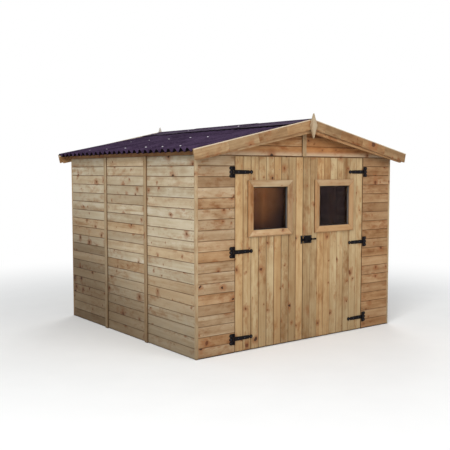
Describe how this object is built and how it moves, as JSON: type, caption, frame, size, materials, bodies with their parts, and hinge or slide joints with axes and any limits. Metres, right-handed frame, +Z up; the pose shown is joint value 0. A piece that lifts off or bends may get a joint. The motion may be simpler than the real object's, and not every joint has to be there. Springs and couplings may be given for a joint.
{
  "type": "wooden garden shed",
  "caption": "Timber garden shed of horizontal boards with a low gable roof of corrugated sheets, a pair of glazed ledged doors on strap hinges and a sliding pad bolt.",
  "frame": {"origin": "on the ground, in the middle of the footprint", "axes": "+Z up, +X to the right along the front wall, -Y out of the doors"},
  "size_m": [2.6182, 2.632, 2.097],
  "materials": {
    "wall_boards": "sawn softwood boards, honey brown, with knots",
    "door_boards": "sawn softwood boards, honey brown, with knots",
    "bargeboards": "planed softwood, honey brown",
    "finials": "planed pale softwood",
    "window_moulding": "planed softwood",
    "trims": "planed softwood",
    "framing": "sawn softwood",
    "roof_sheets": "matt corrugated bitumen sheet, dark violet brown",
    "ironwork": "black painted steel, satin",
    "glass": "clear glazing"
  },
  "bodies": {
    "shed": {"back_finial": "finials", "back_gable": "wall_boards", "back_left_bargeboard": "bargeboards", "back_right_bargeboard": "bargeboards", "back_wall_panels": "wall_boards", "bottom_rails": "framing", "corner_battens": "trims", "door_head": "framing", "door_threshold": "framing", "eaves_purlins": "framing", "end_rafters": "framing", "front_finial": "finials", "front_gable": "wall_boards", "front_left_bargeboard": "bargeboards", "front_left_panel": "wall_boards", "front_right_bargeboard": "bargeboards", "front_right_panel": "wall_boards", "gable_cover_strips": "trims", "gable_posts": "framing", "gable_rafters": "framing", "left_hinge_plates": "ironwork", "left_roof_sheets": "roof_sheets", "left_wall_panels": "wall_boards", "middle_purlins": "framing", "ridge_cap": "roof_sheets", "ridge_purlin": "framing", "right_hinge_plates": "ironwork", "right_roof_sheets": "roof_sheets", "right_wall_panels": "wall_boards", "top_rails": "framing", "wall_cover_strips": "trims", "wall_studs": "framing"},
    "left_door": {"latch_keeper": "ironwork", "left_door_boards": "door_boards", "left_door_ledges": "framing", "left_hinge_straps": "ironwork", "left_window_frame": "window_moulding", "left_window_glass": "glass", "left_window_lining": "window_moulding"},
    "right_door": {"latch_plate": "ironwork", "right_door_boards": "door_boards", "right_door_ledges": "framing", "right_hinge_straps": "ironwork", "right_window_frame": "window_moulding", "right_window_glass": "glass", "right_window_lining": "window_moulding"},
    "door_bolt": {"latch_bolt": "ironwork"}
  },
  "joints": [
    {"name": "left_door_swing", "type": "hinge", "parent": "shed", "child": "left_door", "pos_m": [-0.808, -1.186, 0.88], "axis": [0, 0, -1], "range_deg": [0, 145]},
    {"name": "right_door_swing", "type": "hinge", "parent": "shed", "child": "right_door", "pos_m": [0.808, -1.186, 0.88], "axis": [0, 0, 1], "range_deg": [0, 145]},
    {"name": "bolt_slide", "type": "slide", "parent": "right_door", "child": "door_bolt", "axis": [-1, 0, 0], "range_m": [0, 0.04]}
  ]
}
